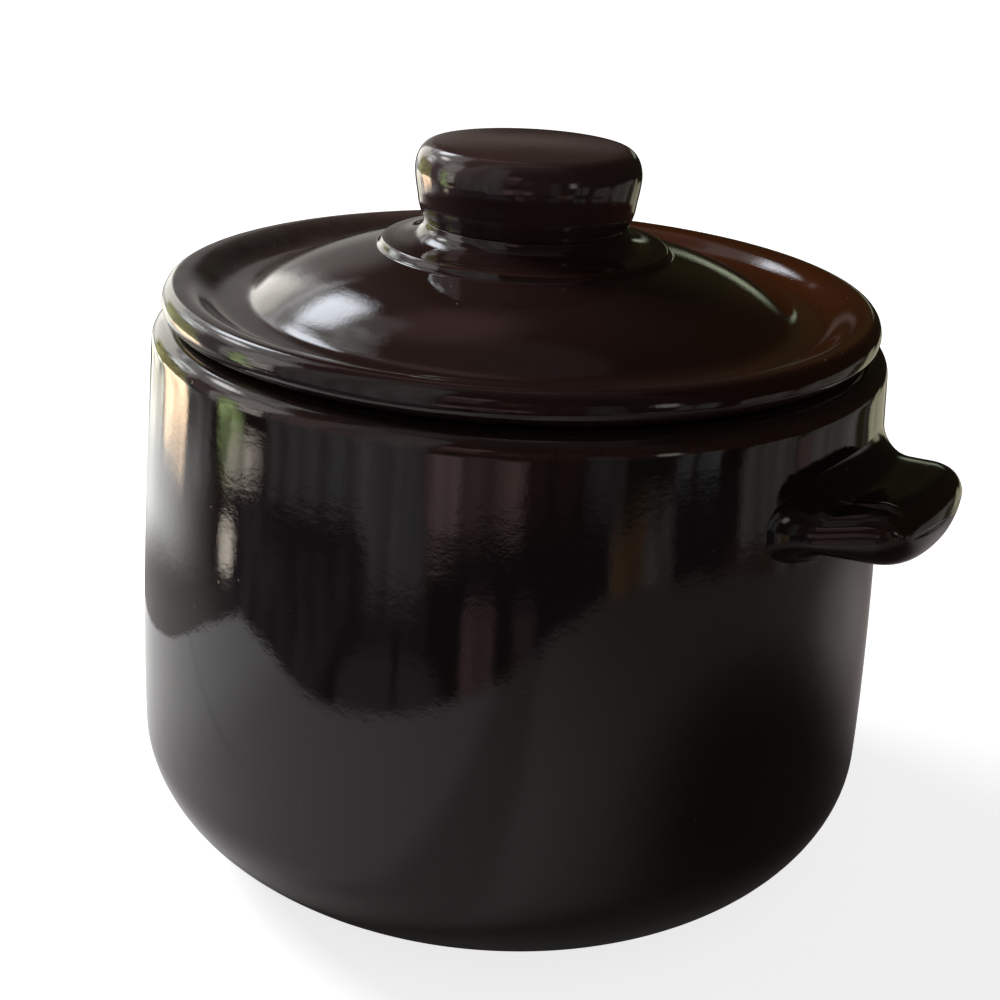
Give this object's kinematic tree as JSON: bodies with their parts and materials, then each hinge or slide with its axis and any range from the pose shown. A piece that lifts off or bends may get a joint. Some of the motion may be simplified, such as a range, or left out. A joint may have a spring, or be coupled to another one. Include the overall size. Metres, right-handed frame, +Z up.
{
  "type": "bean pot",
  "caption": "Squat round bean pot in dark glazed stoneware, with short tab handles and a domed, knobbed lift-off lid",
  "frame": {"origin": "on the table under the pot's axis, at the bottom centre of the part's bounding box", "axes": "+Z up, the pot's axis and the way that the lid lifts; +X out through the right tab handle; +Y completes a right-handed frame, towards the pot's back as it is pictured"},
  "size_m": [0.2086, 0.1754, 0.1691],
  "materials": {
    "crock_glaze": "gloss",
    "tab_glaze": "gloss",
    "lid_glaze": "gloss",
    "knob_glaze": "gloss"
  },
  "bodies": {
    "crock_body": {"crock": "crock_glaze", "lug_handle_right": "tab_glaze", "lug_handle_left": "tab_glaze"},
    "lid_body": {"lid": "lid_glaze", "lid_knob": "knob_glaze"}
  },
  "joints": [
    {"name": "lid_lift", "type": "slide", "parent": "crock_body", "child": "lid_body", "axis": [0, 0, 1], "range_m": [0, 0.15]}
  ]
}
